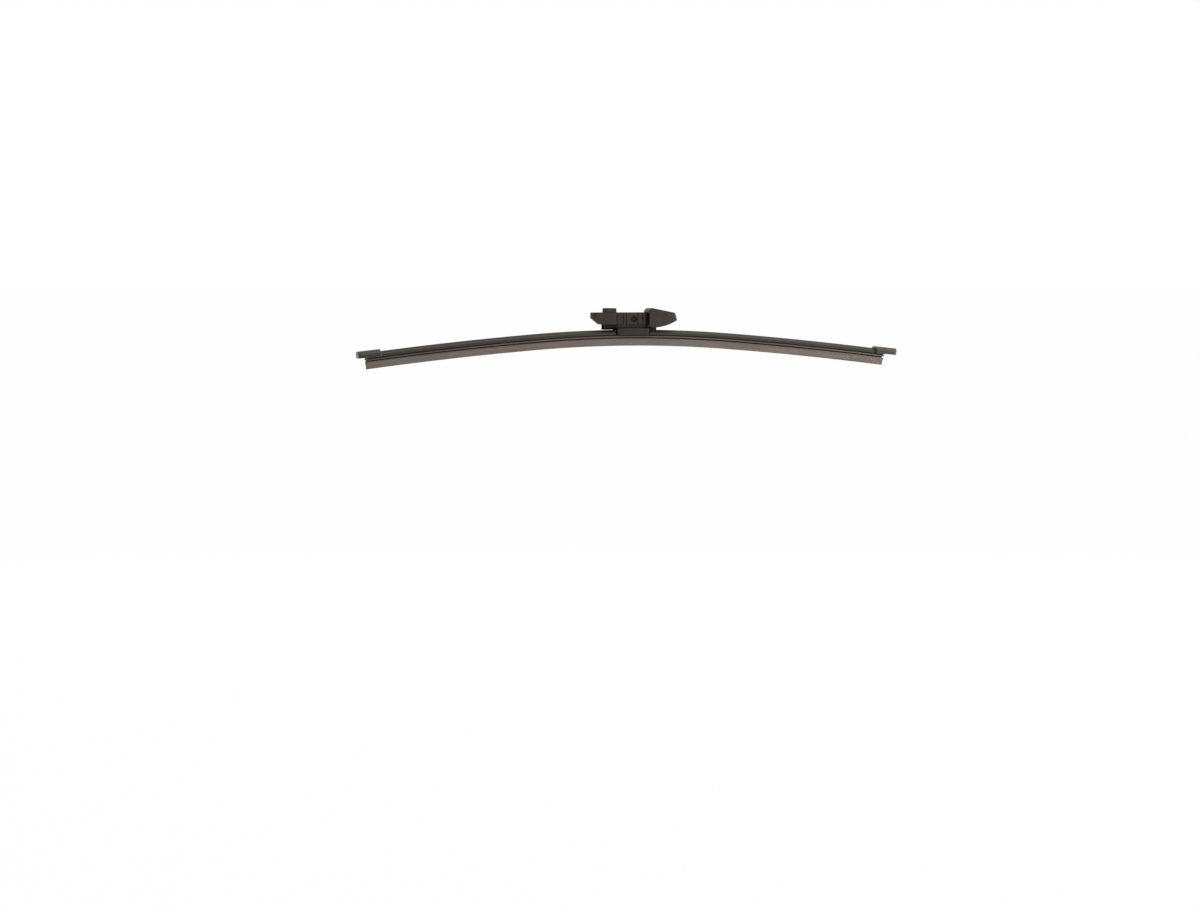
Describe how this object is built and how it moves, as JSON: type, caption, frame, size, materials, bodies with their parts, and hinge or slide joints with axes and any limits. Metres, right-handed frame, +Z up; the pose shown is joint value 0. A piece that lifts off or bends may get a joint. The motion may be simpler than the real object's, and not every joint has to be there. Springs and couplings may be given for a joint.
{
  "type": "rear wiper blade",
  "caption": "Flat bowed rear wiper blade with rubber lip, clip-on spoilers and end caps; its bracket rocks on a pin in an arm adapter with a hollow nose and a locking lever.",
  "frame": {"origin": "the middle of the arm's seat, on top of the adapter's deck, above the pivot pin", "axes": "+X along the blade towards the adapter's nose, +Z up, away from the glass, +Y across the blade"},
  "size_m": [0.3386, 0.0128, 0.0357],
  "materials": {
    "blade_rubber": "satin black-brown rubber, fine lengthwise draw lines",
    "spoiler_plastic": "matte black extrusion with lengthwise lines",
    "moulded_plastic": "fine-grained black moulding",
    "spring_steel": "plain rolled spring strip",
    "pin_steel": "dark oiled steel"
  },
  "bodies": {
    "adapter": {"adapter_housing": "moulded_plastic"},
    "blade": {"wiper_rubber": "blade_rubber", "spring_strip_front": "spring_steel", "spring_strip_rear": "spring_steel", "spoiler_left": "spoiler_plastic", "spoiler_right": "spoiler_plastic", "end_cap_left": "moulded_plastic", "end_cap_right": "moulded_plastic", "base_bracket": "moulded_plastic", "pivot_pin": "pin_steel"},
    "lever": {"locking_lever": "moulded_plastic"}
  },
  "joints": [
    {"name": "blade_rock", "type": "hinge", "parent": "adapter", "child": "blade", "pos_m": [0, 0, -0.004], "axis": [0, 1, 0], "range_deg": [-5, 2]},
    {"name": "lever_press", "type": "hinge", "parent": "adapter", "child": "lever", "pos_m": [-0.0125, 0, -0.0056], "axis": [0, -1, 0], "range_deg": [0, 6], "stiffness_Nm_per_rad": 0.05, "springref_deg": -2.86}
  ]
}
